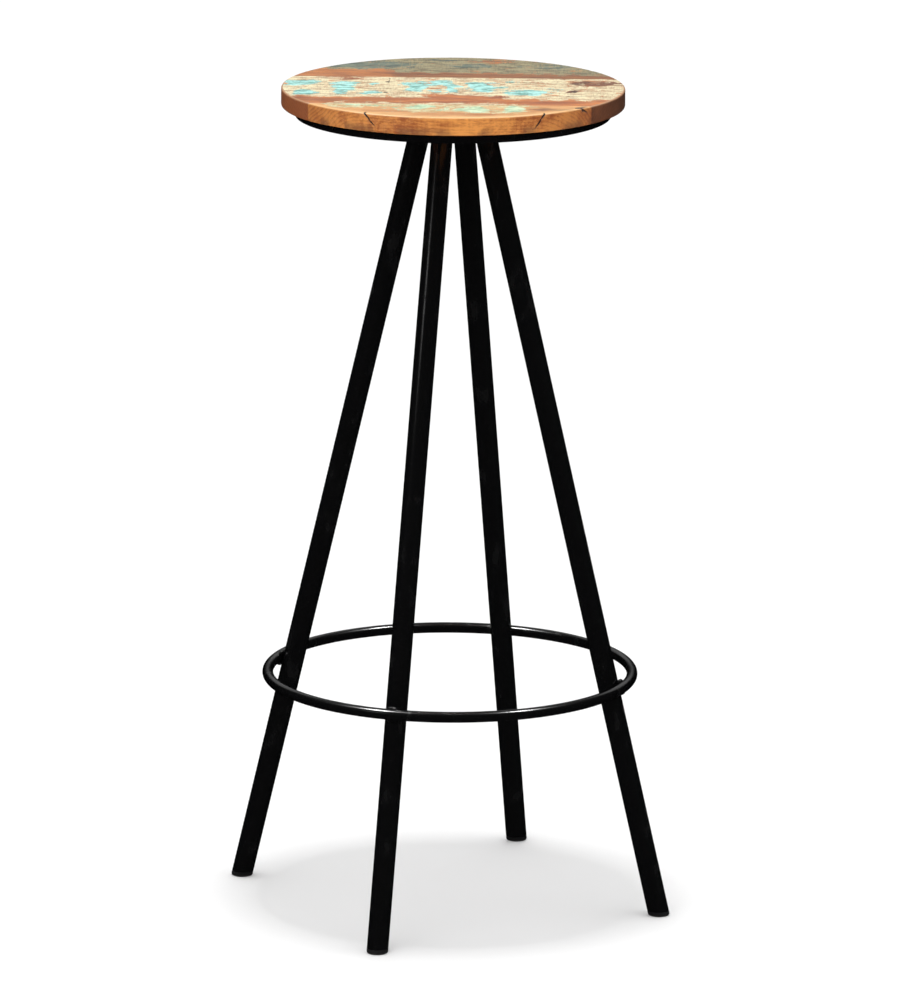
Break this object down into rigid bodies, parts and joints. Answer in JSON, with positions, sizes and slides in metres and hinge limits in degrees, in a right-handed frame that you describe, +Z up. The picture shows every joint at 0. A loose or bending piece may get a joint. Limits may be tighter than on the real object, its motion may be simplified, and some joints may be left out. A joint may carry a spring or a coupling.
{
  "type": "bar stool with footrest",
  "caption": "Backless bar stool: round plank seat on splayed steel tube legs, with a round foot ring welded outside them.",
  "frame": {"origin": "on the floor, under the middle of the seat", "axes": "+Z up through the middle of the seat; the legs stand on the diagonals, so +X and +Y point between two legs; -Y is the front"},
  "size_m": [0.3456, 0.3456, 0.76],
  "materials": {
    "green_plank": "old grey-green paint, worn to bare wood along the joints, matt clear coat",
    "cream_plank": "old cream paint over turquoise, scraped and worn, matt clear coat",
    "orange_plank": "bare orange-brown wood with pale green paint left on its face, matt clear coat",
    "black_powder_coat": "gloss black powder coat over welded mild steel",
    "black_plastic": "moulded black plastic, satin",
    "zinc_screw": "zinc plated"
  },
  "bodies": {
    "root": {"seat_plank_back": "green_plank", "seat_plank_middle": "cream_plank", "seat_plank_front": "orange_plank", "seat_screws": "zinc_screw", "seat_hoop": "black_powder_coat", "cross_bar_long": "black_powder_coat", "cross_bar_front_left": "black_powder_coat", "cross_bar_back_right": "black_powder_coat", "hoop_welds": "black_powder_coat", "cross_bar_welds": "black_powder_coat", "foot_ring": "black_powder_coat", "leg_back_right": "black_powder_coat", "leg_top_weld_back_right": "black_powder_coat", "foot_ring_weld_back_right": "black_powder_coat", "foot_plug_back_right": "black_plastic", "leg_back_left": "black_powder_coat", "leg_top_weld_back_left": "black_powder_coat", "foot_ring_weld_back_left": "black_powder_coat", "foot_plug_back_left": "black_plastic", "leg_front_left": "black_powder_coat", "leg_top_weld_front_left": "black_powder_coat", "foot_ring_weld_front_left": "black_powder_coat", "foot_plug_front_left": "black_plastic", "leg_front_right": "black_powder_coat", "leg_top_weld_front_right": "black_powder_coat", "foot_ring_weld_front_right": "black_powder_coat", "foot_plug_front_right": "black_plastic"}
  },
  "joints": []
}
